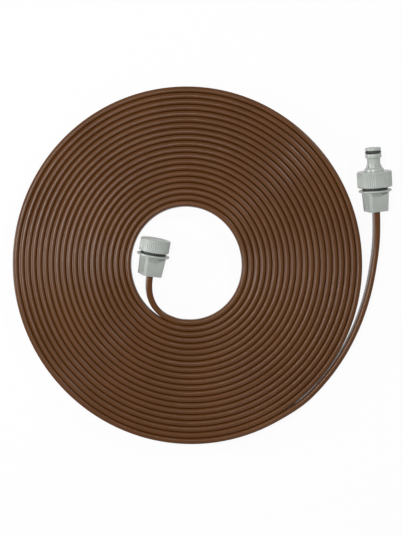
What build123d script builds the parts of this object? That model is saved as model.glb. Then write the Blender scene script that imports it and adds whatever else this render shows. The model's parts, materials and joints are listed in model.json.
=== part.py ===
from build123d import *

# A flat three-channel soaker hose, wound on edge into one flat spiral coil. The outer end carries an
# inlet connector with a quick-connect nose, and the inner end a closed end connector with a screw cap.
#
# Row frame: +X to the right of the coil, +Y away from its front, +Z up. The coil stands on the floor at
# Z = 0, and the origin is under the middle of the whole object.
#
# Each connector is made on its own plane: its Z runs along the connector from the hose to the nose or
# cap, its X points left and its Y up. Stations are distances along that Z from the hose's mouth.

import os
from math import atan2, cos, degrees, pi, radians, sin, tan

# ---------------------------------------------------------------- driving dimensions, mm and degrees
# Hose
HOSE_WIDTH = 16.0  # height of the hose as it stands on edge
HOSE_THICKNESS = 5.85
HOSE_CORNER = 2.2
CHANNEL_PITCH = 5.0  # between the three water channels

# Coil: centreline radius = inner radius + pitch x turn + drift of the inner turns + oval shape
COIL_CENTRE = (-13.03, 1.5)
COIL_INNER_RADIUS = 52.0
TURN_GAP = 0.07
COIL_START_TURN = 0.72
COIL_END_TURN = 20.85
COIL_DRIFT = (-1.2, -0.75)
COIL_OVAL = 1.55
COIL_OVAL_AXIS = 105.0
OUTLINE_POINTS = 24  # per turn

# Connector shell, which grips the hose
SHELL_LENGTH = 19.5
SHELL_WALL = 1.8  # beside the hose's edges at the mouth, before the skew
SHELL_TAPER = 2.0  # how much wider the shell is at the flange
SHELL_CORNER = 2.2
SHELL_SKEW = 17.0  # turn of the outer square about the hose's section
MOUTH_CLEARANCE = 0.25
MOUTH_WALL = 1.5
GRIP_GROOVES = 5
GRIP_GROOVE_WIDTH = 1.3
GRIP_GROOVE_DEPTH = 0.45
GRIP_GROOVE_MARGIN = 2.75  # plain ends left on the flank
GRIP_GROOVE_PITCH = 2.7

# Wedge jaws, each side of the hose inside the shell
JAW_EDGE_MARGIN = 2.0  # hose left free at each edge
JAW_START_GAP = 0.5
JAW_END_GAP = 1.5
JAW_THIN_END = 2.2
JAW_WEDGE = 5.5  # slope of the outer face
JAW_GAP = 0.1
JAW_NOTCHES = 4
JAW_NOTCH_DEPTH = 0.5

# Spigot: flange, threaded tube and barbs in one moulding
FLANGE_RADIUS = 16.2
FLANGE_THICKNESS = 1.8
SPIGOT_RADIUS = 10.5
SPIGOT_LENGTH = 10.7
SPIGOT_WALL = 4.0
PLUG_DEPTH = 3.0
BARB_RADIUS = 1.7
BARB_TIP_RADIUS = 1.3
BARB_BORE = 0.9
BARB_LENGTH = 11.5
HOSE_END_GAP = 7.5  # from the plug to the hose's end on the barbs

# Latch teeth of the spigot in the shell's two windows
LATCH_ROOT = 3.0  # from the axis, inside the plug
LATCH_WIDTH = 4.2
LATCH_LENGTH = 1.6
LATCH_OFFSET = 4.9
LATCH_RECESS = 1.0
LATCH_CLEARANCE = 0.3

# Black ring between the flange and the collar or cap
SEAL_THICKNESS = 2.7
SEAL_WALL = 1.9
SEAL_CLEARANCE = 0.1

# Flat washer on the spigot's end
WASHER_THICKNESS = 1.8
WASHER_INSET = 0.5  # from the spigot's outside
WASHER_HOLE_MARGIN = 0.6  # round the nose's bore

# Screw thread, drawn as plain cylinders
THREAD_CLEARANCE = 0.15

# Nose
NOSE_FLANGE_REACH = 1.9  # past the shoulder
NOSE_FLANGE_THICKNESS = 2.4
SHOULDER_RADIUS = 9.5
SHOULDER_HEIGHT = 3.2  # in front of the collar
SHOULDER_BEVEL = 1.0
NECK_RADIUS = 6.6
NECK_LENGTH = 10.2
HEAD_RADIUS = 7.95
LAND_LENGTH = 4.0
GROOVE_WIDTH = 3.0
GROOVE_CLEARANCE = 0.01
TIP_LENGTH = 3.0
TIP_STEP = 0.2
TIP_BEVEL = 0.8
NOSE_WALL = 1.2  # under the groove
FIN_COUNT = 6
FIN_HEIGHT = 5.2
FIN_REACH = 2.2
FIN_WIDTH = 1.2
FIN_ELBOW = 0.55  # share of the reach left at half height
FIN_SUNK = 0.5
O_RING_SECTION = 1.27

# Collar
COLLAR_RADIUS = 17.1
COLLAR_LIP = 3.2
COLLAR_LIP_CLEARANCE = 0.2
CHAMBER_START_GAP = 0.3
COLLAR_CHAMBER_CLEARANCE = 0.4
COLLAR_RIBS = 48
COLLAR_BEVEL = 0.9

# Cap
CAP_RADIUS = 14.9
CAP_ROOF = 2.6
CAP_RIBS = 44
CAP_FILLET = 0.9

# Ribs round the collar and the cap
RIB_DEPTH = 0.5
RIB_SHARE = 0.5  # groove width as a share of the rib pitch
RIB_MARGIN = 1.3  # plain rim left at each end

# Places of the two connectors, from the coil's centre: mouth, lean of the axis from +X, and tilt up
INLET_MOUTH = (185.9, 52.4)
INLET_HEADING = 94.5
INLET_TILT = 9.5
INLET_ROLL = -1.3
END_MOUTH = (-39.1, -11.1)
END_HEADING = 79.5
END_TILT = 8.0
END_ROLL = 8.2  # the hose leans as it rises in its bend, and the connector leans with it
FLOOR_CLEARANCE = 0.3
CUT_OVERRUN = 0.5  # how far a cut runs past the face that it opens

# ---------------------------------------------------------------- worked-out stations and sizes
COIL_PITCH = HOSE_THICKNESS + TURN_GAP
HOSE_AXIS_HEIGHT = HOSE_WIDTH / 2

SHELL_SIDE_AT_HOSE = HOSE_WIDTH + 2 * SHELL_WALL
SHELL_SIDE_AT_FLANGE = SHELL_SIDE_AT_HOSE + SHELL_TAPER
GRIP_GROOVE_LENGTH = SHELL_LENGTH - 2 * GRIP_GROOVE_MARGIN
JAW_HEIGHT = HOSE_WIDTH - 2 * JAW_EDGE_MARGIN
PLUG_STATION = SHELL_LENGTH - PLUG_DEPTH
JAW_START = MOUTH_WALL + JAW_START_GAP
JAW_END = PLUG_STATION - JAW_END_GAP
HOSE_END_STATION = PLUG_STATION - HOSE_END_GAP
SPIGOT_BORE = SPIGOT_RADIUS - SPIGOT_WALL
SEAL_HOLE = SPIGOT_RADIUS + SEAL_CLEARANCE
SEAL_RADIUS = SEAL_HOLE + SEAL_WALL
NOSE_FLANGE_RADIUS = SHOULDER_RADIUS + NOSE_FLANGE_REACH
TIP_RADIUS = HEAD_RADIUS - TIP_STEP
GROOVE_RADIUS = HEAD_RADIUS - 2 * O_RING_SECTION - GROOVE_CLEARANCE
NOSE_BORE = GROOVE_RADIUS - NOSE_WALL
WASHER_RADIUS = SPIGOT_RADIUS - WASHER_INSET
WASHER_HOLE = NOSE_BORE + WASHER_HOLE_MARGIN

FLANGE_STATION = SHELL_LENGTH
SEAL_STATION = FLANGE_STATION + FLANGE_THICKNESS
COLLAR_STATION = SEAL_STATION + SEAL_THICKNESS
WASHER_STATION = SEAL_STATION + SPIGOT_LENGTH
NOSE_STATION = WASHER_STATION + WASHER_THICKNESS
CHAMBER_START = NOSE_STATION - CHAMBER_START_GAP
CHAMBER_END = NOSE_STATION + NOSE_FLANGE_THICKNESS + COLLAR_LIP_CLEARANCE
COLLAR_END = CHAMBER_END + COLLAR_LIP
NECK_STATION = COLLAR_END + SHOULDER_HEIGHT
LAND_STATION = NECK_STATION + NECK_LENGTH
GROOVE_STATION = LAND_STATION + LAND_LENGTH
TIP_STATION = GROOVE_STATION + GROOVE_WIDTH
NOSE_END = TIP_STATION + TIP_LENGTH
CAP_END = NOSE_STATION + CAP_ROOF

THREAD_BORE = SPIGOT_RADIUS + THREAD_CLEARANCE
JAW_INNER = HOSE_THICKNESS / 2 + JAW_GAP


def pocket_half_width(station):
    """Half the width of the shell's wedge pocket at a station."""
    return JAW_INNER + JAW_THIN_END + JAW_GAP + (station - MOUTH_WALL) * tan(radians(JAW_WEDGE))


# ---------------------------------------------------------------- coil and routes
def coil_point(turn, offset=0.0, z=HOSE_AXIS_HEIGHT):
    """Point of the hose's centreline at a number of turns, moved outwards by offset."""
    angle = 2 * pi * turn
    inner_share = 1 - turn / COIL_END_TURN
    drift = inner_share * (COIL_DRIFT[0] * cos(angle) + COIL_DRIFT[1] * sin(angle))
    oval = COIL_OVAL * cos(2 * (angle - radians(COIL_OVAL_AXIS)))
    radius = COIL_INNER_RADIUS + COIL_PITCH * turn + drift + oval + offset
    return Vector(COIL_CENTRE[0] + radius * cos(angle), COIL_CENTRE[1] + radius * sin(angle), z)


def off_coil(turn, run):
    """Point a run along the line that leaves the coil straight on at a turn."""
    step = coil_point(turn + 0.001) - coil_point(turn - 0.001)
    return coil_point(turn) + step.normalized() * run


def loose(x, y, rise=0.0):
    """Point of a loose stretch, given from the coil's centre and the coil's own height."""
    return Vector(COIL_CENTRE[0] + x, COIL_CENTRE[1] + y, HOSE_AXIS_HEIGHT + rise)


def turned(plane, angle):
    """The same plane, turned about its own Z."""
    x_dir = plane.x_dir.rotate(Axis((0, 0, 0), plane.z_dir), angle)
    return Plane(origin=plane.origin, x_dir=x_dir, z_dir=plane.z_dir)


def connector_plane(mouth, heading, tilt, roll, rests):
    """Plane at the hose's mouth. rests holds the (station, radius) of the rims that may touch the floor."""
    height = max(radius * cos(radians(tilt)) - station * sin(radians(tilt)) for station, radius in rests)
    origin = Vector(COIL_CENTRE[0] + mouth[0], COIL_CENTRE[1] + mouth[1], height + FLOOR_CLEARANCE)
    level, rise = cos(radians(tilt)), sin(radians(tilt))
    axis = Vector(level * cos(radians(heading)), level * sin(radians(heading)), rise)
    left = Vector(-sin(radians(heading)), cos(radians(heading)), 0)
    return turned(Plane(origin=origin, x_dir=left, z_dir=axis), roll)


inlet_plane = connector_plane(
    INLET_MOUTH,
    INLET_HEADING,
    INLET_TILT,
    INLET_ROLL,
    [(COLLAR_STATION, COLLAR_RADIUS), (FLANGE_STATION, FLANGE_RADIUS)],
)
end_plane = connector_plane(
    END_MOUTH,
    END_HEADING,
    END_TILT,
    END_ROLL,
    [(COLLAR_STATION, CAP_RADIUS), (FLANGE_STATION, FLANGE_RADIUS)],
)

# Loose stretches of the hose, from the coil to the hose's end inside each connector.
INLET_ROUTE = [
    coil_point(COIL_END_TURN),
    off_coil(COIL_END_TURN, 26),
    loose(148.4, -98.5),
    loose(165.9, -66.5),
    loose(177.6, -33.5),
    loose(184.2, -0.5),
    inlet_plane.from_local_coords(Vector(0, 0, -20)),
    inlet_plane.from_local_coords(Vector(0, 0, HOSE_END_STATION)),
]
END_ROUTE = [
    coil_point(COIL_START_TURN),
    off_coil(COIL_START_TURN, -5),
    loose(-23.6, -52.6, 0.1),
    loose(-30.7, -47.2, 0.7),
    loose(-36.0, -40.2, 1.8),
    loose(-39.6, -30.5, 3.2),
    end_plane.from_local_coords(Vector(0, 0, -6)),
    end_plane.from_local_coords(Vector(0, 0, HOSE_END_STATION)),
]


def corner_radii(route):
    """Arc radius at each inner corner: 0.45 of the shorter run over the tangent of half the turn."""
    radii = []
    for before, corner, after in zip(route, route[1:], route[2:]):
        run_in, run_out = corner - before, after - corner
        half_turn = radians(run_in.get_angle(run_out)) / 2
        radii.append(0.45 * min(run_in.length, run_out.length) / tan(half_turn))
    return radii


# ---------------------------------------------------------------- hose
def make_hose_coil():
    """Closed outer shape of the wound turns, with the central hole and a step where each lead starts."""
    with BuildPart() as coil:
        with BuildSketch():
            for last_turn, offset, mode in (
                (COIL_END_TURN, HOSE_THICKNESS / 2, Mode.ADD),
                (COIL_START_TURN + 1, -HOSE_THICKNESS / 2, Mode.SUBTRACT),
            ):
                turns = [last_turn - 1 + i / OUTLINE_POINTS for i in range(OUTLINE_POINTS + 1)]
                with BuildLine() as outline:
                    edge = Spline([coil_point(turn, offset, 0) for turn in turns])
                    Line(edge @ 1, edge @ 0)
                make_face(outline.edges(), mode=mode)
        extrude(amount=HOSE_WIDTH)
    return coil.part


def make_lead(route):
    """Flat hose along a route of straight runs and tangent arcs."""
    radii = corner_radii(route)
    with BuildPart() as lead:
        with BuildLine() as path:
            FilletPolyline(*route, radius=radii)
        start = Plane(origin=route[0], x_dir=(0, 0, 1), z_dir=route[1] - route[0])
        with BuildSketch(start):
            RectangleRounded(HOSE_WIDTH, HOSE_THICKNESS, HOSE_CORNER)
        sweep(path=path.wire())
    section = HOSE_WIDTH * HOSE_THICKNESS - (4 - pi) * HOSE_CORNER**2
    length = path.wire().length
    print("lead radii", [round(r, 1) for r in radii])
    print("lead length", round(length, 1), "volume / (section x length)", lead.part.volume / section / length)
    return lead.part


# ---------------------------------------------------------------- connector pieces
def side_plane(plane):
    """Plane through the connector's axis: its X is the connector's X, its Y the station."""
    return Plane(origin=plane.origin, x_dir=plane.x_dir, z_dir=-plane.y_dir)


def axis_of(plane):
    return Axis(plane.origin, plane.z_dir)


def make_shell(plane):
    """Tapered four-sided grip shell with grooved flanks, hose mouth, wedge pocket and latch windows."""
    skewed = turned(plane, SHELL_SKEW)
    with BuildPart() as shell:
        for station, side in ((0, SHELL_SIDE_AT_HOSE), (SHELL_LENGTH, SHELL_SIDE_AT_FLANGE)):
            with BuildSketch(skewed.offset(station)) as outline:
                Rectangle(side, side)
                chamfer(outline.vertices(), SHELL_CORNER)
        loft()

        with BuildSketch(plane):
            mouth_corner = HOSE_CORNER + MOUTH_CLEARANCE
            RectangleRounded(
                HOSE_THICKNESS + 2 * MOUTH_CLEARANCE, HOSE_WIDTH + 2 * MOUTH_CLEARANCE, mouth_corner
            )
        extrude(amount=SHELL_LENGTH, mode=Mode.SUBTRACT)

        with BuildSketch(side_plane(plane)):
            with BuildLine():
                near, far = pocket_half_width(MOUTH_WALL), pocket_half_width(SHELL_LENGTH)
                Polyline(
                    (-near, MOUTH_WALL), (near, MOUTH_WALL), (far, SHELL_LENGTH), (-far, SHELL_LENGTH), close=True
                )
            make_face()
        extrude(amount=JAW_HEIGHT / 2 + JAW_GAP, both=True, mode=Mode.SUBTRACT)

        # the two latch windows, opposite each other near the flange
        window_root = LATCH_ROOT - LATCH_CLEARANCE
        window_height = SHELL_SIDE_AT_FLANGE / 2 + CUT_OVERRUN - window_root
        for half_turn in (0, 180):
            window = turned(skewed, half_turn)
            with BuildSketch(window.offset(PLUG_STATION + (PLUG_DEPTH - LATCH_LENGTH) / 2 - LATCH_CLEARANCE)):
                with Locations((-LATCH_OFFSET, window_root)):
                    Rectangle(LATCH_WIDTH + 2 * LATCH_CLEARANCE, window_height, align=(Align.CENTER, Align.MIN))
            extrude(amount=LATCH_LENGTH + 2 * LATCH_CLEARANCE, mode=Mode.SUBTRACT)

        # grip grooves along the two flanks
        for direction in (skewed.x_dir, -skewed.x_dir):
            flank = shell.faces().filter_by(lambda face: face.normal_at().dot(direction) > 0.95).sort_by(Face.area)[-1]
            middle = flank.center()
            groove_plane = Plane(origin=middle, x_dir=skewed.y_dir, z_dir=flank.normal_at(middle))
            with BuildSketch(groove_plane):
                with GridLocations(GRIP_GROOVE_PITCH, 0, GRIP_GROOVES, 1):
                    SlotOverall(GRIP_GROOVE_LENGTH, GRIP_GROOVE_WIDTH, rotation=90)
            extrude(amount=-GRIP_GROOVE_DEPTH, mode=Mode.SUBTRACT)
    return shell.part


def make_jaw(plane, side):
    """Wedge between one broad face of the hose and the shell's pocket. side is 1 for left, -1 for right."""
    length = JAW_END - JAW_START
    with BuildPart() as jaw:
        with BuildSketch(side_plane(plane)):
            with BuildLine():
                Polyline(
                    (side * JAW_INNER, JAW_START),
                    (side * JAW_INNER, JAW_END),
                    (side * (pocket_half_width(JAW_END) - JAW_GAP), JAW_END),
                    (side * (pocket_half_width(JAW_START) - JAW_GAP), JAW_START),
                    close=True,
                )
            make_face()
            with Locations((side * JAW_INNER, (JAW_START + JAW_END) / 2)):
                with GridLocations(0, length / JAW_NOTCHES, 1, JAW_NOTCHES):
                    Rectangle(2 * JAW_NOTCH_DEPTH, length / JAW_NOTCHES / 2, mode=Mode.SUBTRACT)
        extrude(amount=JAW_HEIGHT / 2, both=True)
    return jaw.part


def make_spigot(plane):
    """Flange with the threaded tube in front, and the plug, latch teeth and three barbs behind."""
    skewed = turned(plane, SHELL_SKEW)
    with BuildPart() as spigot:
        with BuildSketch(plane.offset(FLANGE_STATION)):
            Circle(FLANGE_RADIUS)
        extrude(amount=FLANGE_THICKNESS)
        chamfer(spigot.edges().filter_by(GeomType.CIRCLE), FLANGE_THICKNESS / 5)
        with BuildSketch(plane.offset(SEAL_STATION)):
            Circle(SPIGOT_RADIUS)
        extrude(amount=SPIGOT_LENGTH)

        # plug inside the shell's pocket
        with BuildSketch(plane.offset(PLUG_STATION)):
            Rectangle(2 * (pocket_half_width(PLUG_STATION) - JAW_GAP), JAW_HEIGHT)
        extrude(amount=PLUG_DEPTH)
        for half_turn in (0, 180):
            tooth = turned(skewed, half_turn)
            with BuildSketch(tooth.offset(PLUG_STATION + (PLUG_DEPTH - LATCH_LENGTH) / 2)):
                tooth_top = SHELL_SIDE_AT_FLANGE / 2 - LATCH_RECESS
                with Locations((-LATCH_OFFSET, tooth_top)):
                    Rectangle(LATCH_WIDTH, tooth_top - LATCH_ROOT, align=(Align.CENTER, Align.MAX))
            extrude(amount=LATCH_LENGTH)

        # water chamber, then the barbs and their bores
        with BuildSketch(plane.offset(WASHER_STATION)):
            Circle(SPIGOT_BORE)
        extrude(amount=FLANGE_STATION + FLANGE_THICKNESS / 4 - WASHER_STATION, mode=Mode.SUBTRACT)
        barbs = [(0, i * CHANNEL_PITCH) for i in (-1, 0, 1)]
        with BuildSketch(plane.offset(PLUG_STATION)):
            with Locations(barbs):
                Circle(BARB_RADIUS)
        slope = degrees(atan2(BARB_RADIUS - BARB_TIP_RADIUS, BARB_LENGTH))
        extrude(amount=-BARB_LENGTH, taper=slope)
        with BuildSketch(plane.offset(PLUG_STATION - BARB_LENGTH)):
            with Locations(barbs):
                Circle(BARB_BORE)
        extrude(amount=BARB_LENGTH + PLUG_DEPTH + FLANGE_THICKNESS, mode=Mode.SUBTRACT)
    return spigot.part


def make_ring(plane, station, thickness, radius, hole):
    """Flat ring round the connector's axis."""
    with BuildPart() as ring:
        with BuildSketch(plane.offset(station)):
            Circle(radius)
            Circle(hole, mode=Mode.SUBTRACT)
        extrude(amount=thickness)
    return ring.part


def make_nose(plane):
    """Quick-connect nose: captive flange, shoulder, finned neck, grooved head and water bore."""
    with BuildPart() as nose:
        with BuildSketch(side_plane(plane)):
            with BuildLine():
                Polyline(
                    (NOSE_BORE, NOSE_STATION),
                    (NOSE_FLANGE_RADIUS, NOSE_STATION),
                    (NOSE_FLANGE_RADIUS, NOSE_STATION + NOSE_FLANGE_THICKNESS),
                    (SHOULDER_RADIUS, NOSE_STATION + NOSE_FLANGE_THICKNESS),
                    (SHOULDER_RADIUS, NECK_STATION - SHOULDER_BEVEL),
                    (SHOULDER_RADIUS - SHOULDER_BEVEL, NECK_STATION),
                    (NECK_RADIUS, NECK_STATION),
                    (NECK_RADIUS, LAND_STATION),
                    (HEAD_RADIUS, LAND_STATION),
                    (HEAD_RADIUS, GROOVE_STATION),
                    (GROOVE_RADIUS, GROOVE_STATION),
                    (GROOVE_RADIUS, TIP_STATION),
                    (TIP_RADIUS, TIP_STATION),
                    (TIP_RADIUS, NOSE_END - TIP_BEVEL),
                    (TIP_RADIUS - TIP_BEVEL, NOSE_END),
                    (NOSE_BORE, NOSE_END),
                    close=True,
                )
            make_face()
        revolve(axis=axis_of(plane))

        # fins between the shoulder and the neck
        for i in range(FIN_COUNT):
            fin_plane = side_plane(turned(plane, (i + 0.5) * 360 / FIN_COUNT))
            with BuildSketch(fin_plane):
                with BuildLine():
                    Polyline(
                        (NECK_RADIUS - FIN_SUNK, NECK_STATION - FIN_SUNK),
                        (NECK_RADIUS + FIN_REACH, NECK_STATION - FIN_SUNK),
                        (NECK_RADIUS + FIN_REACH * FIN_ELBOW, NECK_STATION + FIN_HEIGHT / 2),
                        (NECK_RADIUS - FIN_SUNK, NECK_STATION + FIN_HEIGHT),
                        close=True,
                    )
                make_face()
            extrude(amount=FIN_WIDTH / 2, both=True)
    return nose.part


def make_o_ring(plane):
    """O-ring in the head's groove, level with the head."""
    with BuildPart() as ring:
        with BuildSketch(side_plane(plane)):
            with Locations((HEAD_RADIUS - O_RING_SECTION, GROOVE_STATION + GROOVE_WIDTH / 2)):
                Circle(O_RING_SECTION)
        revolve(axis=axis_of(plane))
    return ring.part


def rib_grooves(plane, radius, start, length, count):
    """The grooves between the ribs of a collar or cap, as solids to cut away."""
    with BuildPart() as grooves:
        with BuildSketch(plane.offset(start + RIB_MARGIN)):
            with PolarLocations(radius, count):
                Rectangle(2 * RIB_DEPTH, 2 * pi * radius / count * RIB_SHARE)
        extrude(amount=length - 2 * RIB_MARGIN)
    return grooves.part


def make_collar(plane):
    """Ribbed union nut: thread bore, chamber for the nose's flange and a front lip that holds it."""
    length = COLLAR_END - COLLAR_STATION
    grooves = rib_grooves(plane, COLLAR_RADIUS, COLLAR_STATION, length, COLLAR_RIBS)
    with BuildPart() as collar:
        with BuildSketch(plane.offset(COLLAR_STATION)):
            Circle(COLLAR_RADIUS)
        extrude(amount=length)
        chamfer(collar.edges().filter_by(GeomType.CIRCLE), COLLAR_BEVEL)
        add(grooves, mode=Mode.SUBTRACT)
        for start, end, radius in (
            (COLLAR_STATION, CHAMBER_START, THREAD_BORE),
            (CHAMBER_START, CHAMBER_END, NOSE_FLANGE_RADIUS + COLLAR_CHAMBER_CLEARANCE),
            (CHAMBER_END, COLLAR_END, SHOULDER_RADIUS + COLLAR_LIP_CLEARANCE),
        ):
            with BuildSketch(plane.offset(start)):
                Circle(radius)
            extrude(amount=end - start, mode=Mode.SUBTRACT)
    return collar.part


def make_cap(plane):
    """Ribbed closed cap with a thread bore."""
    length = CAP_END - COLLAR_STATION
    grooves = rib_grooves(plane, CAP_RADIUS, COLLAR_STATION, length, CAP_RIBS)
    with BuildPart() as cap:
        with BuildSketch(plane.offset(COLLAR_STATION)):
            Circle(CAP_RADIUS)
        extrude(amount=length)
        rims = cap.edges().filter_by(GeomType.CIRCLE).sort_by(axis_of(plane))
        fillet(rims[-1], CAP_FILLET)
        chamfer(rims[0], CAP_FILLET / 2)
        add(grooves, mode=Mode.SUBTRACT)
        with BuildSketch(plane.offset(COLLAR_STATION)):
            Circle(THREAD_BORE)
        extrude(amount=NOSE_STATION - COLLAR_STATION, mode=Mode.SUBTRACT)
    return cap.part


# ---------------------------------------------------------------- the assembly
pieces = {
    "hose_coil": make_hose_coil(),
    "hose_inlet_lead": make_lead(INLET_ROUTE),
    "hose_end_lead": make_lead(END_ROUTE),
    "inlet_nose": make_nose(inlet_plane),
    "nose_o_ring": make_o_ring(inlet_plane),
    "inlet_collar": make_collar(inlet_plane),
    "end_cap": make_cap(end_plane),
}
for end, plane in (("inlet", inlet_plane), ("end", end_plane)):
    pieces[f"{end}_shell"] = make_shell(plane)
    pieces[f"{end}_spigot"] = make_spigot(plane)
    pieces[f"{end}_jaw_left"] = make_jaw(plane, 1)
    pieces[f"{end}_jaw_right"] = make_jaw(plane, -1)
    pieces[f"{end}_seal"] = make_ring(plane, SEAL_STATION, SEAL_THICKNESS, SEAL_RADIUS, SEAL_HOLE)
    pieces[f"{end}_washer"] = make_ring(plane, WASHER_STATION, WASHER_THICKNESS, WASHER_RADIUS, WASHER_HOLE)

os.makedirs("parts", exist_ok=True)
for name, piece in pieces.items():
    piece.label = name
    export_step(piece, f"parts/{name}.step")

for name, plane in (("inlet", inlet_plane), ("end", end_plane)):
    print(name, "mouth", plane.origin, "axis", plane.z_dir)
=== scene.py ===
"""Soaker hose: a flat three-channel hose wound on edge, with a quick-connect inlet and a capped end.

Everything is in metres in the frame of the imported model, +Z up, the hose lying on Z = 0. A connector's
own axes have Z along it from the hose's mouth, and a distance along that Z is called a station.
"""

import json
from math import atan2, cos, pi, radians, sin

import bmesh
import bpy
from bpy.props import FloatProperty, FloatVectorProperty, IntProperty, PointerProperty
from mathutils import Matrix, Vector


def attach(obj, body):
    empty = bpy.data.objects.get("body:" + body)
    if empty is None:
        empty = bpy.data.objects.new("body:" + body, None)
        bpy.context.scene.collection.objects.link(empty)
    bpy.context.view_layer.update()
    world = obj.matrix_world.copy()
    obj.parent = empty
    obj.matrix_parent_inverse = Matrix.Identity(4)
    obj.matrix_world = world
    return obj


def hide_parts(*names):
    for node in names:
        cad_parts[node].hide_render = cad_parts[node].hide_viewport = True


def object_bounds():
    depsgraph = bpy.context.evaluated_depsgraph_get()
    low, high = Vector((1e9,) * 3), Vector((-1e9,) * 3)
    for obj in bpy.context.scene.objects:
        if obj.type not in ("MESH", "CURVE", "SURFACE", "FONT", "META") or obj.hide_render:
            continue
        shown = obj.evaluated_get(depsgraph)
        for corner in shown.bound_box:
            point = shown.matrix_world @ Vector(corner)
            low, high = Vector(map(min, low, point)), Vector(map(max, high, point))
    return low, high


bl_info = {
    "name": "Soaker Hose",
    "version": (1, 0, 0),
    "blender": (4, 5, 0),
    "location": "View3D > Sidebar > Soaker Hose",
    "description": "A flat soaker hose wound in a coil, with its two screw connectors",
    "category": "Add Mesh",
}

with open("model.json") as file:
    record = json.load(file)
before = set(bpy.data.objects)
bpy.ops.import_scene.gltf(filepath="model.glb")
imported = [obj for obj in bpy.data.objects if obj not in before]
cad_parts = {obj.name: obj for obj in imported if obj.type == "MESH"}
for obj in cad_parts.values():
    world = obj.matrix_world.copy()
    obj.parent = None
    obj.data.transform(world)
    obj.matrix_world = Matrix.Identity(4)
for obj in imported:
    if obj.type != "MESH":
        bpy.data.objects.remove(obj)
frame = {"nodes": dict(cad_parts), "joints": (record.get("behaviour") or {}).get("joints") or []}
cad_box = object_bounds()

MM = 0.001
FULL_TURN = 2 * pi
MERGE_DISTANCE = 0.002 * MM
SMOOTH_ANGLE = radians(32)
SHARP_ANGLE = radians(40)
FLAT_ANGLE = radians(0.5)
RIB_STEEPNESS = 0.9


# ---------------------------------------------------------------- sizes and colours
def length(name, description, default, **limits):
    """A distance property, given in metres."""
    return FloatProperty(
        name=name,
        description=description,
        default=default,
        subtype="DISTANCE",
        unit="LENGTH",
        precision=5,
        **limits,
    )


def colour(name, description, default):
    return FloatVectorProperty(
        name=name, description=description, default=default, subtype="COLOR", size=3, min=0, max=1
    )


def share(name, description, default):
    return FloatProperty(name=name, description=description, default=default, subtype="FACTOR", min=0, max=1)


class HoseSettings(bpy.types.PropertyGroup):
    """Sizes and colours of the hose."""

    width: length("Width", "Height of the hose as it stands on edge", 0.016)
    thickness: length("Thickness", "Across the three channels", 0.00585)
    corner: length("Corner", "Radius of the two long edges", 0.0021)
    channel_pitch: length("Channel pitch", "Between the three channels", 0.005)
    channel_groove: length("Channel groove", "Depth of the grooves between the channels", 0.00028)
    crown: length("Crown", "How far the middle of a long edge stands proud", 0.00003)
    inner_radius: length("Coil radius", "Radius at which the spiral would start", 0.052)
    pitch: length("Turn pitch", "From one turn of the coil to the next", 0.00592)
    base: colour("Base colour", "Brown of the soft plastic", (0.086, 0.028, 0.004))
    bleached: colour("Bleached colour", "Paler brown of its drier stretches", (0.112, 0.040, 0.008))
    gloss: share("Roughness", "Roughness of the hose's skin", 0.22)
    shine: share("Shine", "Specular level of the hose's skin", 0.18)


class ConnectorSettings(bpy.types.PropertyGroup):
    """Sizes and colours of the two connectors."""

    edge: length("Edge rounding", "Radius on the moulded edges", 0.00025)
    collar_ribs: IntProperty(name="Collar ribs", description="Ribs round the collar", default=48, min=12)
    cap_ribs: IntProperty(name="Cap ribs", description="Ribs round the cap", default=44, min=12)
    rib_depth: length("Rib depth", "From the ribs' crests to their roots", 0.0005)
    rib_margin: length("Rib margin", "Plain rim left at each end of the ribs", 0.0013)
    thread_pitch: length("Thread pitch", "Lead of the single-start screw thread", 0.0025)
    thread_height: length("Thread height", "From root to crest", 0.0009)
    plastic: colour("Plastic", "Light grey moulded plastic", (0.425, 0.455, 0.425))
    plastic_shade: colour("Plastic shade", "Its darker flow marks", (0.36, 0.39, 0.36))
    jaw: colour("Jaws", "Grey of the jaws inside", (0.21, 0.23, 0.21))
    rubber: colour("Rubber", "Black of the seals", (0.012, 0.012, 0.012))


class StageSettings(bpy.types.PropertyGroup):
    """Camera, lamps and floor."""

    camera_height: length("Camera height", "Above the coil's upper face", 1.1)
    view_height: length("View height", "Length on the floor that the long side of the picture spans", 0.531)
    lamps: FloatProperty(
        name="Lamps", description="Power of each lamp's share", default=3.6, min=0, unit="POWER"
    )
    sky: share("Sky", "Strength of the even light from all round", 0.2)
    floor: share("Floor", "How pale the floor is", 0.9)
    floor_clear: share("Floor clearness", "How much of the shadows the white of the floor covers", 0.94)


def settings():
    return bpy.context.scene.soaker_hose


def connector_settings():
    return bpy.context.scene.soaker_hose_connectors


# ---------------------------------------------------------------- node materials
class Value:
    """A node's output socket. Sums and products of values add their Math nodes."""

    def __init__(self, finish, socket):
        self.finish = finish
        self.socket = socket

    def maths(self, operation, first, second):
        return self.finish.node("ShaderNodeMath", {"operation": operation}, {0: first, 1: second})

    def __add__(self, other):
        return self.maths("ADD", self, other)

    def __mul__(self, other):
        return self.maths("MULTIPLY", self, other)


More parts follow.
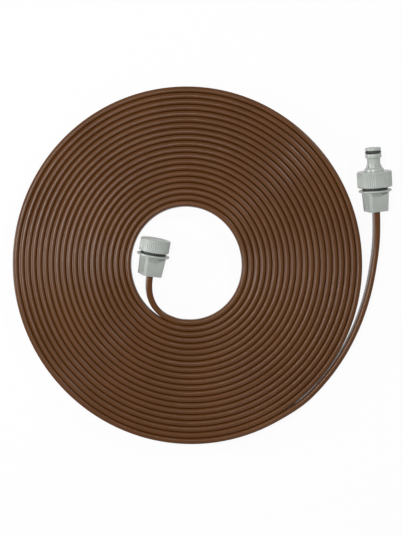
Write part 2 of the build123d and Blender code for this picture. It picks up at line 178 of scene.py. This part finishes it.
class Finish:
    """A node material or world, built one node at a time."""

    def __init__(self, tree):
        self.tree = tree
        tree.nodes.clear()

    def node(self, kind, setup=None, inputs=None, output=0):
        """Adds a node, sets it up, then fills its sockets with numbers or links. Returns one output."""
        added = self.tree.nodes.new(kind)
        for name, setting in (setup or {}).items():
            setattr(added, name, setting)
        for name, given in (inputs or {}).items():
            if isinstance(given, Value):
                self.tree.links.new(given.socket, added.inputs[name])
            elif hasattr(given, "__len__") and len(given) == 3 and added.inputs[name].type == "RGBA":
                added.inputs[name].default_value = (*given, 1)
            else:
                added.inputs[name].default_value = given
        return Value(self, added.outputs[output]) if added.outputs else None

    def place(self, scale=(1, 1, 1), uv=False):
        """Coordinates in metres on the object, or the hose's own run and girth, stretched by scale."""
        source = self.node("ShaderNodeTexCoord", output="UV" if uv else "Object")
        return self.node("ShaderNodeMapping", inputs={"Vector": source, "Scale": scale})

    def noise(self, where, scale, detail=3.0, roughness=0.55):
        return self.node(
            "ShaderNodeTexNoise",
            inputs={"Vector": where, "Scale": scale, "Detail": detail, "Roughness": roughness},
        )

    def blend(self, factor, first, second):
        """Mixes two colours, the first where the factor is 0."""
        colour_a, colour_b, colour_out = 6, 7, 2
        inputs = {"Factor": factor, colour_a: first, colour_b: second}
        return self.node("ShaderNodeMix", {"data_type": "RGBA"}, inputs, colour_out)

    def between(self, amount, low, high):
        """0 up to low, 1 from high."""
        return self.node("ShaderNodeMapRange", inputs={"Value": amount, "From Min": low, "From Max": high})

    def bump(self, height, distance, strength=1.0, under=None):
        inputs = {"Height": height, "Distance": distance, "Strength": strength}
        if under:
            inputs["Normal"] = under
        return self.node("ShaderNodeBump", inputs=inputs)

    def surface(self, **inputs):
        """Ends the material in one plastic-like surface."""
        named = {name.replace("_", " "): given for name, given in inputs.items()}
        shader = self.node("ShaderNodeBsdfPrincipled", inputs=named)
        self.node("ShaderNodeOutputMaterial", inputs={"Surface": shader})


def new_finish(name):
    material = bpy.data.materials.get(name)
    if material is None:
        material = bpy.data.materials.new(name)
        material.use_nodes = True
    return material, Finish(material.node_tree)


def hose_finish():
    """Satin brown soft plastic: drawn streaks along the run, drier stretches and fine grain."""
    made = settings()
    material, finish = new_finish("brown_hose_plastic")
    around = finish.place()
    patches = finish.between(finish.noise(around, 16, 2), 0.38, 0.68)
    mottle = finish.noise(around, 240, 2)
    streaks = finish.noise(finish.place((9, 160, 1), uv=True), 1.0, 2)
    paleness = patches * 0.5 + finish.between(streaks, 0.35, 0.75) * 0.35 + mottle * 0.12
    skin = finish.blend(paleness, made.base, made.bleached)
    grain = finish.noise(around, 1500, 2)
    drawn = finish.bump(streaks, 0.00012, 0.5)
    finish.surface(
        Base_Color=skin,
        Roughness=streaks * 0.12 + patches * 0.05 + (made.gloss - 0.08),
        Specular_IOR_Level=made.shine,
        Normal=finish.bump(grain, 0.00004, 0.35, drawn),
    )
    return material


def plastic_finish(name, light, shade, roughness):
    """Moulded plastic with faint flow marks, a spark-eroded grain and a slightly uneven sheen."""
    material, finish = new_finish(name)
    around = finish.place()
    flow = finish.noise(finish.place((1, 1, 0.35)), 95, 3)
    grain = finish.noise(around, 2600, 2)
    wear = finish.noise(around, 420, 3)
    finish.surface(
        Base_Color=finish.blend(finish.between(flow, 0.35, 0.7) * 0.55 + wear * 0.25, light, shade),
        Roughness=wear * 0.14 + grain * 0.05 + (roughness - 0.08),
        Normal=finish.bump(grain, 0.00003, 0.4, finish.bump(wear, 0.00006, 0.25)),
    )
    return material


def connector_finish():
    made = connector_settings()
    return plastic_finish("grey_connector_plastic", made.plastic, made.plastic_shade, 0.3)


def jaw_finish():
    made = connector_settings()
    return plastic_finish("grey_jaw_plastic", made.jaw, [0.8 * part for part in made.jaw], 0.5)


def rubber_finish():
    """Matt black rubber with a little dust in its grain."""
    made = connector_settings()
    material, finish = new_finish("black_rubber")
    around = finish.place()
    dust = finish.noise(around, 600, 3)
    grain = finish.noise(around, 3500, 2)
    finish.surface(
        Base_Color=finish.blend(
            finish.between(dust, 0.5, 0.85) * 0.3, made.rubber, [part + 0.04 for part in made.rubber]
        ),
        Roughness=dust * 0.2 + 0.42,
        Normal=finish.bump(grain, 0.00003, 0.4),
    )
    return material


# ---------------------------------------------------------------- the connectors' own axes
class Connector:
    """Own axes of one connector: Z from the hose's mouth towards the nose or cap, X left, Y up."""

    def __init__(self, end, joint, roll):
        hinge = next(made for made in frame["joints"] if made["name"] == joint)
        axis = Vector(hinge["axis"]).normalized()
        anchor = Vector(hinge["pos_m"])
        shell = frame["nodes"][f"{end}_shell"].data
        mouth = min((corner.co - anchor).dot(axis) for corner in shell.vertices)
        left = Vector((-axis.y, axis.x, 0)).normalized()
        turned = Matrix((left, axis.cross(left), axis)).transposed().to_4x4() @ Matrix.Rotation(roll, 4, "Z")
        self.matrix = Matrix.Translation(anchor + axis * mouth) @ turned
        self.inverse = self.matrix.inverted()

    def at(self, station):
        return self.matrix @ Vector((0, 0, station))

    def span(self, node):
        """(first station, last station, outer radius) of a CAD node on this connector."""
        corners = [self.inverse @ corner.co for corner in frame["nodes"][node].data.vertices]
        stations = [corner.z for corner in corners]
        return min(stations), max(stations), max(corner.xy.length for corner in corners)


HOSE_ROLL_AT_INLET = radians(-1.3)
HOSE_ROLL_AT_END = radians(8.2)
inlet = Connector("inlet", "collar_turn", HOSE_ROLL_AT_INLET)
end = Connector("end", "cap_turn", HOSE_ROLL_AT_END)


# ---------------------------------------------------------------- making pieces
def revolved(outline, steps):
    """Turns half a section, given as (radius, station, corner rounding), round the connector's axis."""
    shape = bmesh.new()
    corners = [shape.verts.new((radius, 0, station)) for radius, station, _ in outline]
    shape.faces.new(corners)
    for rounding in sorted({row[2] for row in outline} - {0}):
        rounded = [corner for corner, row in zip(corners, outline) if row[2] == rounding]
        bmesh.ops.bevel(
            shape,
            geom=rounded,
            offset=rounding,
            offset_type="OFFSET",
            affect="VERTICES",
            segments=3,
            profile=0.5,
            material=-1,
        )
    bmesh.ops.delete(shape, geom=shape.faces[:], context="FACES_ONLY")
    on_axis = [
        edge for edge in shape.edges if all(corner.co.xy.length < MERGE_DISTANCE for corner in edge.verts)
    ]
    bmesh.ops.delete(shape, geom=on_axis, context="EDGES")
    bmesh.ops.spin(
        shape,
        geom=shape.verts[:] + shape.edges[:],
        cent=(0, 0, 0),
        axis=(0, 0, 1),
        dvec=(0, 0, 0),
        angle=FULL_TURN,
        steps=steps,
        use_merge=True,
    )
    bmesh.ops.remove_doubles(shape, verts=shape.verts, dist=MERGE_DISTANCE)
    return shape


def press_ribs(shape, radius, first, last, count, depth):
    """Presses the roots between the ribs into the outer wall, from one station to another."""
    for corner in shape.verts:
        if first <= corner.co.z <= last and corner.co.xy.length > radius - MERGE_DISTANCE:
            phase = atan2(corner.co.y, corner.co.x) * count
            root = min(max(0.5 + RIB_STEEPNESS * cos(phase), 0), 1)
            corner.co.xy *= 1 - root * depth / radius


def rounded_copy(node, rounding):
    """A CAD node's shape with its sharp edges rounded."""
    shape = bmesh.new()
    shape.from_mesh(frame["nodes"][node].data)
    bmesh.ops.remove_doubles(shape, verts=shape.verts, dist=MERGE_DISTANCE)
    bmesh.ops.dissolve_limit(shape, angle_limit=FLAT_ANGLE, verts=shape.verts, edges=shape.edges)
    sharp = [edge for edge in shape.edges if edge.is_manifold and edge.calc_face_angle() > SHARP_ANGLE]
    bmesh.ops.bevel(
        shape,
        geom=sharp,
        offset=rounding,
        offset_type="OFFSET",
        affect="EDGES",
        segments=2,
        profile=0.5,
        material=-1,
        clamp_overlap=True,
    )
    return shape


def add_piece(name, shape, material, body, nodes=(), place=None):
    """Makes a finished piece from a bmesh, rides it on a body and stands it in for CAD nodes."""
    if place is not None:
        bmesh.ops.transform(shape, matrix=place, verts=shape.verts)
    bmesh.ops.recalc_face_normals(shape, faces=shape.faces)
    mesh = bpy.data.meshes.new(name)
    shape.to_mesh(mesh)
    shape.free()
    return finish_mesh(name, mesh, material, body, nodes)


def finish_mesh(name, mesh, material, body, nodes=()):
    mesh.shade_smooth()
    mesh.set_sharp_from_angle(angle=SMOOTH_ANGLE)
    mesh.materials.clear()
    mesh.materials.append(material)
    piece = bpy.data.objects.new(name, mesh)
    bpy.context.scene.collection.objects.link(piece)
    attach(piece, body)
    if nodes:
        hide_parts(*nodes)
    return piece


def finish_node(node, material):
    """Gives a carried CAD node its material."""
    mesh = frame["nodes"][node].data
    mesh.materials.clear()
    mesh.materials.append(material)


# ---------------------------------------------------------------- the hose's line
COIL_CENTRE = Vector((-0.01303, 0.0015, 0))
COIL_START_TURN = 0.72
COIL_END_TURN = 20.85
COIL_DRIFT = Vector((-0.0012, -0.00075))
COIL_OVAL = 0.00155
COIL_OVAL_AXIS = radians(105)
POINTS_PER_TURN = 24
HOSE_END_STATION = 0.009
LINE_STEPS = 6
TURN_STEP = 0.001


def coil_point(turn, outwards=1.0):
    """Point of the hose's line in the coil, its distance from the coil's centre scaled by outwards."""
    made = settings()
    around = FULL_TURN * turn
    inner_share = 1 - turn / COIL_END_TURN
    drift = inner_share * (COIL_DRIFT.x * cos(around) + COIL_DRIFT.y * sin(around))
    oval = COIL_OVAL * cos(2 * (around - COIL_OVAL_AXIS))
    radius = (made.inner_radius + made.pitch * turn + drift + oval) * outwards
    return COIL_CENTRE + Vector((radius * cos(around), radius * sin(around), made.width / 2))


def off_coil(turn, run):
    """Point a run along the line that leaves the coil straight on at a turn."""
    step = coil_point(turn + TURN_STEP) - coil_point(turn - TURN_STEP)
    return coil_point(turn) + step.normalized() * run


def loose(x, y, rise=0.0):
    """Point of a loose stretch, given from the coil's centre and the coil's own height."""
    return COIL_CENTRE + Vector((x, y, settings().width / 2 + rise))


def hose_line():
    """(point, roll) all along the hose, from inside the inlet connector to inside the end connector."""
    inlet_stretch = [
        inlet.at(HOSE_END_STATION),
        inlet.at(-0.020),
        loose(0.1842, -0.0005),
        loose(0.1776, -0.0335),
        loose(0.1659, -0.0665),
        loose(0.1484, -0.0985),
        off_coil(COIL_END_TURN, 0.026),
    ]
    end_stretch = [
        off_coil(COIL_START_TURN, -0.005),
        loose(-0.0236, -0.0526, 0.0001),
        loose(-0.0307, -0.0472, 0.0007),
        loose(-0.0360, -0.0402, 0.0018),
        loose(-0.0396, -0.0305, 0.0032),
        end.at(-0.006),
        end.at(HOSE_END_STATION),
    ]
    # the line of a spline of order 3 lies inside its points, so the coil's points stand that much outside it
    outwards = 1 / cos(pi / POINTS_PER_TURN)
    count = round((COIL_END_TURN - COIL_START_TURN) * POINTS_PER_TURN) + 1
    coil = [coil_point(COIL_END_TURN - i / POINTS_PER_TURN, outwards) for i in range(count)]
    inlet_rolls = [HOSE_ROLL_AT_INLET] * 2 + [0] * (len(inlet_stretch) - 2)
    end_rolls = [HOSE_ROLL_AT_END * i / (len(end_stretch) - 2) for i in range(len(end_stretch) - 1)]
    end_rolls.append(HOSE_ROLL_AT_END)
    return list(zip(inlet_stretch + coil + end_stretch, inlet_rolls + [0] * count + end_rolls))


def curve_mesh(curve_data):
    """The mesh that Blender makes of a curve."""
    curve = bpy.data.objects.new("hose_line", curve_data)
    bpy.context.scene.collection.objects.link(curve)
    bpy.context.view_layer.update()
    mesh = bpy.data.meshes.new_from_object(curve.evaluated_get(bpy.context.evaluated_depsgraph_get()))
    bpy.data.objects.remove(curve)
    return mesh


CORNER_STEPS = 3
# height in channel pitches and depth in groove depths, from the top of a groove down the middle lobe
LOBE = ((0.85, 0.35), (0.5, 1.0), (0.2, 0.4), (0, 0))


def hose_section():
    """Closed curve of the hose's section: X across it, Y along its width, a lobe over each channel."""
    made = settings()
    half, top = made.thickness / 2, made.width / 2
    flat, rim = half - made.corner, top - made.crown
    quarter = [(0, top)]
    for i in range(CORNER_STEPS + 1):
        around = pi / 2 * (1 - i / CORNER_STEPS)
        quarter.append((flat + made.corner * cos(around), rim - made.corner * (1 - sin(around))))
    for height, depth in LOBE:
        quarter.append((half - made.channel_groove * depth, made.channel_pitch * height))
    side = quarter + [(x, -y) for x, y in reversed(quarter[:-1])]
    outline = side + [(-x, y) for x, y in reversed(side[1:-1])]
    section = bpy.data.curves.new("hose_section", "CURVE")
    section.dimensions = "2D"
    spline = section.splines.new("POLY")
    spline.points.add(len(outline) - 1)
    for point, (x, y) in zip(spline.points, outline):
        point.co = (x, y, 0, 1)
    spline.use_cyclic_u = True
    return bpy.data.objects.new("hose_section", section)


class SOAKER_OT_hose(bpy.types.Operator):
    """Make the hose: the inlet stretch, the coil and the end stretch in one length"""

    bl_idname = "soaker.hose"
    bl_label = "Hose"

    def execute(self, context):
        line = bpy.data.curves.new("hose_line", "CURVE")
        line.dimensions = "3D"
        line.twist_mode = "Z_UP"
        line.resolution_u = LINE_STEPS
        points = hose_line()
        spline = line.splines.new("NURBS")
        spline.points.add(len(points) - 1)
        for point, (place, roll) in zip(spline.points, points):
            point.co = (*place, 1)
            point.tilt = roll
        spline.order_u = 3
        spline.use_endpoint_u = True

        path = [tuple(corner.co) for corner in curve_mesh(line).vertices]
        section = hose_section()
        line.bevel_mode = "OBJECT"
        line.bevel_object = section
        line.use_fill_caps = True
        mesh = curve_mesh(line)
        bpy.data.objects.remove(section)
        mesh.name = "brown_flat_hose"
        hose = finish_mesh(
            "brown_flat_hose",
            mesh,
            hose_finish(),
            "root",
            ["hose_coil", "hose_inlet_lead", "hose_end_lead"],
        )
        return {"FINISHED"}


# ---------------------------------------------------------------- connector pieces
class SOAKER_OT_shells(bpy.types.Operator):
    """Make the two grooved shells that grip the hose, and finish the jaws inside them"""

    bl_idname = "soaker.shells"
    bl_label = "Grip shells"

    def execute(self, context):
        made = connector_settings()
        for place in ("inlet", "end"):
            shape = rounded_copy(f"{place}_shell", made.edge)
            add_piece(
                f"{place}_grip_shell",
                shape,
                connector_finish(),
                "root",
                [f"{place}_shell"],
            )
            for side in ("left", "right"):
                finish_node(f"{place}_jaw_{side}", jaw_finish())
        return {"FINISHED"}


END_SLICE = 0.01 * MM


def spigot_radius(connector, place):
    """Radius of the threaded tube, which ends the spigot."""
    corners = [connector.inverse @ corner.co for corner in frame["nodes"][f"{place}_spigot"].data.vertices]
    last = max(corner.z for corner in corners)
    return max(corner.xy.length for corner in corners if corner.z > last - END_SLICE)


THREAD_START_GAP = 0.5 * MM
THREAD_RUNOUT = 0.4 * MM
THREAD_SUNK = 0.1 * MM
THREAD_CREST_SHARE = 0.2
THREAD_FOOT_SHARE = 0.62
THREAD_STEPS = 64


class SOAKER_OT_spigots(bpy.types.Operator):
    """Make the screw threads on the two flanged spigots"""

    bl_idname = "soaker.spigots"
    bl_label = "Spigot threads"

    def execute(self, context):
        made = connector_settings()
        for place, connector in (("inlet", inlet), ("end", end)):
            finish_node(f"{place}_spigot", connector_finish())
            seal_end = connector.span(f"{place}_seal")[1]
            spigot_end = connector.span(f"{place}_spigot")[1]
            root = spigot_radius(connector, place)
            crest_width = made.thread_pitch * THREAD_CREST_SHARE
            foot_width = made.thread_pitch * THREAD_FOOT_SHARE
            first = seal_end + THREAD_START_GAP + foot_width / 2
            turns = (spigot_end - THREAD_RUNOUT - foot_width / 2 - first) / made.thread_pitch
            foot, crest = root - THREAD_SUNK, root + made.thread_height
            shape = bmesh.new()
            ridge = [
                shape.verts.new((foot, 0, first - foot_width / 2)),
                shape.verts.new((crest, 0, first - crest_width / 2)),
                shape.verts.new((crest, 0, first + crest_width / 2)),
                shape.verts.new((foot, 0, first + foot_width / 2)),
            ]
            profile = shape.faces.new(ridge)
            steps = round(turns * THREAD_STEPS)
            bmesh.ops.spin(
                shape,
                geom=[profile, *profile.edges, *ridge],
                cent=(0, 0, 0),
                axis=(0, 0, 1),
                dvec=(0, 0, made.thread_pitch * turns / steps),
                angle=FULL_TURN * turns,
                steps=steps,
            )
            bmesh.ops.remove_doubles(shape, verts=shape.verts, dist=MERGE_DISTANCE)
            add_piece(
                f"{place}_spigot_thread",
                shape,
                connector_finish(),
                "root",
                place=connector.matrix,
            )
        return {"FINISHED"}


RING_STEPS = 96
SEAL_CLEARANCE = 0.1 * MM
SEAL_EDGE = 0.45 * MM


class SOAKER_OT_rings(bpy.types.Operator):
    """Make the black seal rings, and finish the washers and the O-ring"""

    bl_idname = "soaker.rings"
    bl_label = "Seals"

    def execute(self, context):
        for place, connector in (("inlet", inlet), ("end", end)):
            first, last, outer = connector.span(f"{place}_seal")
            inner = spigot_radius(connector, place) + SEAL_CLEARANCE
            outline = [
                (inner, first, 0),
                (outer, first, SEAL_EDGE),
                (outer, last, SEAL_EDGE),
                (inner, last, 0),
            ]
            add_piece(
                f"{place}_bottom_seal",
                revolved(outline, RING_STEPS),
                rubber_finish(),
                "root",
                [f"{place}_seal"],
                connector.matrix,
            )
            finish_node(f"{place}_washer", rubber_finish())
        finish_node("nose_o_ring", rubber_finish())
        return {"FINISHED"}


THREAD_ROOM = 0.15 * MM
THREAD_MOUTH_EDGE = 0.3 * MM
RIM_EDGE = 0.9 * MM
RIB_RAMP = 0.35 * MM
STEPS_PER_RIB = 8


def thread_bore(connector, place):
    """Radius of a bore that clears the crests of a spigot's thread."""
    return spigot_radius(connector, place) + connector_settings().thread_height + THREAD_ROOM


def ribbed_wall(outer, first, last, first_rim, last_rim):
    """Outline rows of a ribbed wall: a rounded rim at each end and the ramps of the ribs between them."""
    margin = connector_settings().rib_margin
    ribs_first, ribs_last = first + margin, last - margin
    ramps = (ribs_first, ribs_first + RIB_RAMP, ribs_last - RIB_RAMP, ribs_last)
    return [(outer, first, first_rim), *((outer, station, 0) for station in ramps), (outer, last, last_rim)]


def add_ribbed_nut(name, outline, ribs, connector, body, node):
    """Makes a revolved nut with ribs round it, in place of a CAD node."""
    made = connector_settings()
    first, last, outer = connector.span(node)
    plain = made.rib_margin + RIB_RAMP - MERGE_DISTANCE
    shape = revolved(outline, ribs * STEPS_PER_RIB)
    press_ribs(shape, outer, first + plain, last - plain, ribs, made.rib_depth)
    add_piece(name, shape, connector_finish(), body, [node], connector.matrix)


FLANGE_ROOM = 0.3 * MM
CHAMBER_ROOM = 0.4 * MM
CHAMBER_LENGTH = 2.6 * MM
LIP_RADIUS = 9.7 * MM


class SOAKER_OT_collar(bpy.types.Operator):
    """Make the ribbed collar that holds the nose"""

    bl_idname = "soaker.collar"
    bl_label = "Collar"

    def execute(self, context):
        made = connector_settings()
        first, last, outer = inlet.span("inlet_collar")
        flange_first, _, flange_radius = inlet.span("inlet_nose")
        bore = thread_bore(inlet, "inlet")
        chamber = flange_radius + CHAMBER_ROOM
        chamber_first, chamber_last = flange_first - FLANGE_ROOM, flange_first + CHAMBER_LENGTH
        outline = [
            (bore, first, THREAD_MOUTH_EDGE),
            *ribbed_wall(outer, first, last, RIM_EDGE, RIM_EDGE),
            (LIP_RADIUS, last, made.edge),
            (LIP_RADIUS, chamber_last, 0),
            (chamber, chamber_last, 0),
            (chamber, chamber_first, 0),
            (bore, chamber_first, 0),
        ]
        add_ribbed_nut("inlet_ribbed_collar", outline, made.collar_ribs, inlet, "collar", "inlet_collar")
        return {"FINISHED"}


CAP_RIM_EDGE = 0.45 * MM
RECESS_SHARE = 0.66
RECESS_SLOPE = 0.4 * MM
RECESS_DEPTH = 0.5 * MM


class SOAKER_OT_cap(bpy.types.Operator):
    """Make the ribbed cap that closes the end"""

    bl_idname = "soaker.cap"
    bl_label = "Cap"

    def execute(self, context):
        made = connector_settings()
        first, last, outer = end.span("end_cap")
        roof = end.span("end_washer")[1]
        bore = thread_bore(end, "end")
        recess = outer * RECESS_SHARE
        outline = [
            (bore, first, THREAD_MOUTH_EDGE),
            *ribbed_wall(outer, first, last, CAP_RIM_EDGE, RIM_EDGE),
            (recess, last, made.edge),
            (recess - RECESS_SLOPE, last - RECESS_DEPTH, made.edge),
            (0, last - RECESS_DEPTH, 0),
            (0, roof, 0),
            (bore, roof, 0),
        ]
        add_ribbed_nut("end_screw_cap", outline, made.cap_ribs, end, "cap", "end_cap")
        return {"FINISHED"}


NOSE_BORE = 4.2 * MM
FLANGE_THICKNESS = 2.4 * MM
SHOULDER_RADIUS = 9.5 * MM
SHOULDER_END = 3.2 * MM  # this and the neck's end are measured from the collar's front
SHOULDER_EDGE = 0.9 * MM
NECK_RADIUS = 6.6 * MM
NECK_END = 13.4 * MM
NECK_FOOT_EDGE = 0.5 * MM
NECK_TOP_EDGE = 0.6 * MM
HEAD_EDGE = 0.35 * MM
GROOVE_ROOT = 5.4 * MM
GROOVE_WIDTH = 3.0 * MM
TIP_RADIUS = 7.75 * MM
TIP_EDGE = 0.8 * MM
MOUTH_EDGE = 0.4 * MM
FINS = 6
FIN_THICKNESS = 1.2 * MM
FIN_REACH = 2.2 * MM
FIN_HEIGHT = 5.2 * MM
FIN_ELBOW_SHARE = 0.55
FIN_SUNK = 0.5 * MM
FIN_EDGE = 0.2 * MM


class SOAKER_OT_nose(bpy.types.Operator):
    """Make the quick-connect nose with its fins and the grooved head"""

    bl_idname = "soaker.nose"
    bl_label = "Nose"

    def execute(self, context):
        made = connector_settings()
        first, last, flange_radius = inlet.span("inlet_nose")
        collar_end = inlet.span("inlet_collar")[1]
        ring_first, ring_last, head_radius = inlet.span("nose_o_ring")
        ring_middle = (ring_first + ring_last) / 2
        groove_first, groove_last = ring_middle - GROOVE_WIDTH / 2, ring_middle + GROOVE_WIDTH / 2
        flange_last = first + FLANGE_THICKNESS
        shoulder_end, neck_end = collar_end + SHOULDER_END, collar_end + NECK_END
        outline = [
            (NOSE_BORE, first, 0),
            (flange_radius, first, 0),
            (flange_radius, flange_last, 0),
            (SHOULDER_RADIUS, flange_last, 0),
            (SHOULDER_RADIUS, shoulder_end, SHOULDER_EDGE),
            (NECK_RADIUS, shoulder_end, NECK_FOOT_EDGE),
            (NECK_RADIUS, neck_end, NECK_TOP_EDGE),
            (head_radius, neck_end, HEAD_EDGE),
            (head_radius, groove_first, made.edge),
            (GROOVE_ROOT, groove_first, 0),
            (GROOVE_ROOT, groove_last, 0),
            (TIP_RADIUS, groove_last, made.edge),
            (TIP_RADIUS, last, TIP_EDGE),
            (NOSE_BORE, last, MOUTH_EDGE),
        ]
        shape = revolved(outline, RING_STEPS)
        for i in range(FINS):
            add_fin(shape, (i + 0.5) * FULL_TURN / FINS, shoulder_end)
        add_piece(
            "inlet_quick_nose",
            shape,
            connector_finish(),
            "nose",
            ["inlet_nose"],
            inlet.matrix,
        )
        return {"FINISHED"}


def add_fin(shape, around, shoulder_end):
    """Adds one of the fins that stand between the shoulder and the neck."""
    foot = NECK_RADIUS - FIN_SUNK
    corners = [
        shape.verts.new((radius, -FIN_THICKNESS / 2, station))
        for radius, station in (
            (foot, shoulder_end - FIN_SUNK),
            (NECK_RADIUS + FIN_REACH, shoulder_end - FIN_SUNK),
            (NECK_RADIUS + FIN_REACH * FIN_ELBOW_SHARE, shoulder_end + FIN_HEIGHT / 2),
            (foot, shoulder_end + FIN_HEIGHT),
        )
    ]
    side = shape.faces.new(corners)
    raised = bmesh.ops.extrude_face_region(shape, geom=[side])["geom"]
    far = [part for part in raised if isinstance(part, bmesh.types.BMVert)]
    bmesh.ops.translate(shape, vec=(0, FIN_THICKNESS, 0), verts=far)
    bmesh.ops.transform(shape, matrix=Matrix.Rotation(around, 4, "Z"), verts=corners + far)
    bmesh.ops.bevel(
        shape,
        geom=list({edge for corner in corners + far for edge in corner.link_edges}),
        offset=FIN_EDGE,
        offset_type="OFFSET",
        affect="EDGES",
        segments=2,
        profile=0.5,
        material=-1,
        clamp_overlap=True,
    )


# ---------------------------------------------------------------- stage
def add_lamp(name, place, target, size, power):
    lamp = bpy.data.lights.new(name, "AREA")
    lamp.shape = "DISK"
    lamp.size = size
    lamp.energy = power
    holder = bpy.data.objects.new(name, lamp)
    holder.location = place
    holder.rotation_euler = (target - Vector(place)).to_track_quat("-Z", "Y").to_euler()
    bpy.context.scene.collection.objects.link(holder)


def seen_straight(finish):
    """1 for what the camera sees, straight on or in metal or glass."""
    path = finish.tree.nodes.new("ShaderNodeLightPath")
    rays = ("Is Camera Ray", "Is Glossy Ray", "Is Transmission Ray")
    seen = [Value(finish, path.outputs[name]) for name in rays]
    return finish.node(
        "ShaderNodeMath", {"operation": "ADD", "use_clamp": True}, {0: seen[0], 1: seen[1] + seen[2]}
    )


FLOOR_HALF_SIDE = 3
SENSOR_WIDTH = 36
# under the camera, at the height of the coil's upper face
CAMERA_AIM = Vector((-0.0011, -0.0027, 0.016))
# name, place, diameter and how many shares of power
LAMPS = (
    ("back_right_lamp", (0.66, 0.66, 0.80), 0.12, 1.1),
    ("top_left_lamp", (-0.26, 0.09, 1.15), 0.20, 1.6),
    ("front_lamp", (0.35, -0.85, 0.75), 0.30, 0.3),
    ("low_left_lamp", (-1.15, 0.05, 0.36), 0.50, 2.4),
)


class SOAKER_OT_stage(bpy.types.Operator):
    """Lay the white floor and set up the camera, the lamps and the even light"""

    bl_idname = "soaker.stage"
    bl_label = "Floor, lamps and camera"

    def execute(self, context):
        made = context.scene.soaker_hose_stage
        scene = context.scene
        low, high = cad_box
        middle = (low + high) / 2

        shape = bmesh.new()
        bmesh.ops.create_grid(shape, x_segments=1, y_segments=1, size=FLOOR_HALF_SIDE)
        mesh = bpy.data.meshes.new("floor")
        shape.to_mesh(mesh)
        shape.free()
        floor = bpy.data.objects.new("floor", mesh)
        scene.collection.objects.link(floor)
        material, finish = new_finish("white_floor")
        matt = finish.node("ShaderNodeBsdfDiffuse", inputs={"Color": (made.floor,) * 3})
        glow = finish.node("ShaderNodeEmission", inputs={"Color": (1, 1, 1), "Strength": 1})
        cover = seen_straight(finish) * made.floor_clear
        surface = finish.node("ShaderNodeMixShader", inputs={0: cover, 1: matt, 2: glow})
        finish.node("ShaderNodeOutputMaterial", inputs={"Surface": surface})
        mesh.materials.append(material)

        world = bpy.data.worlds.new("even_light")
        scene.world = world
        world.use_nodes = True
        sky = Finish(world.node_tree)
        white = seen_straight(sky)
        backdrop = sky.node(
            "ShaderNodeBackground",
            inputs={"Color": (1, 1, 1), "Strength": white * (1 - made.sky) + made.sky},
        )
        sky.node("ShaderNodeOutputWorld", inputs={"Surface": backdrop})

        for name, place, size, powers in LAMPS:
            add_lamp(name, place, middle, size, made.lamps * powers)

        camera = bpy.data.cameras.new("camera")
        camera.sensor_width = SENSOR_WIDTH
        camera.lens = SENSOR_WIDTH * made.camera_height / made.view_height
        camera.clip_start, camera.clip_end = 0.05, 20
        holder = bpy.data.objects.new("camera", camera)
        holder.location = CAMERA_AIM + Vector((0, 0, made.camera_height))
        scene.collection.objects.link(holder)
        scene.camera = holder
        scene.view_settings.view_transform = "Standard"
        return {"FINISHED"}


# ---------------------------------------------------------------- sidebar and registration
MAKERS = (
    SOAKER_OT_stage,
    SOAKER_OT_shells,
    SOAKER_OT_spigots,
    SOAKER_OT_rings,
    SOAKER_OT_collar,
    SOAKER_OT_cap,
    SOAKER_OT_nose,
    SOAKER_OT_hose,
)


class SOAKER_PT_panel(bpy.types.Panel):
    """Sizes, colours and makers of the soaker hose"""

    bl_idname = "SOAKER_PT_panel"
    bl_label = "Soaker Hose"
    bl_space_type = "VIEW_3D"
    bl_region_type = "UI"
    bl_category = "Soaker Hose"

    def draw(self, context):
        scene = context.scene
        for group in (scene.soaker_hose, scene.soaker_hose_connectors, scene.soaker_hose_stage):
            column = self.layout.column(align=True)
            for name in group.__annotations__:
                column.prop(group, name)
        for maker in MAKERS:
            self.layout.operator(maker.bl_idname)


GROUPS = {
    "soaker_hose": HoseSettings,
    "soaker_hose_connectors": ConnectorSettings,
    "soaker_hose_stage": StageSettings,
}


def register():
    for name, group in GROUPS.items():
        bpy.utils.register_class(group)
        setattr(bpy.types.Scene, name, PointerProperty(type=group))
    for kind in (*MAKERS, SOAKER_PT_panel):
        bpy.utils.register_class(kind)


def unregister():
    for kind in (SOAKER_PT_panel, *reversed(MAKERS)):
        bpy.utils.unregister_class(kind)
    for name, group in GROUPS.items():
        delattr(bpy.types.Scene, name)
        bpy.utils.unregister_class(group)


def main():
    register()
    bpy.ops.soaker.stage()
    bpy.ops.soaker.shells()
    bpy.ops.soaker.spigots()
    bpy.ops.soaker.rings()
    bpy.ops.soaker.collar()
    bpy.ops.soaker.cap()
    bpy.ops.soaker.nose()
    bpy.ops.soaker.hose()


if __name__ == "__main__":
    main()
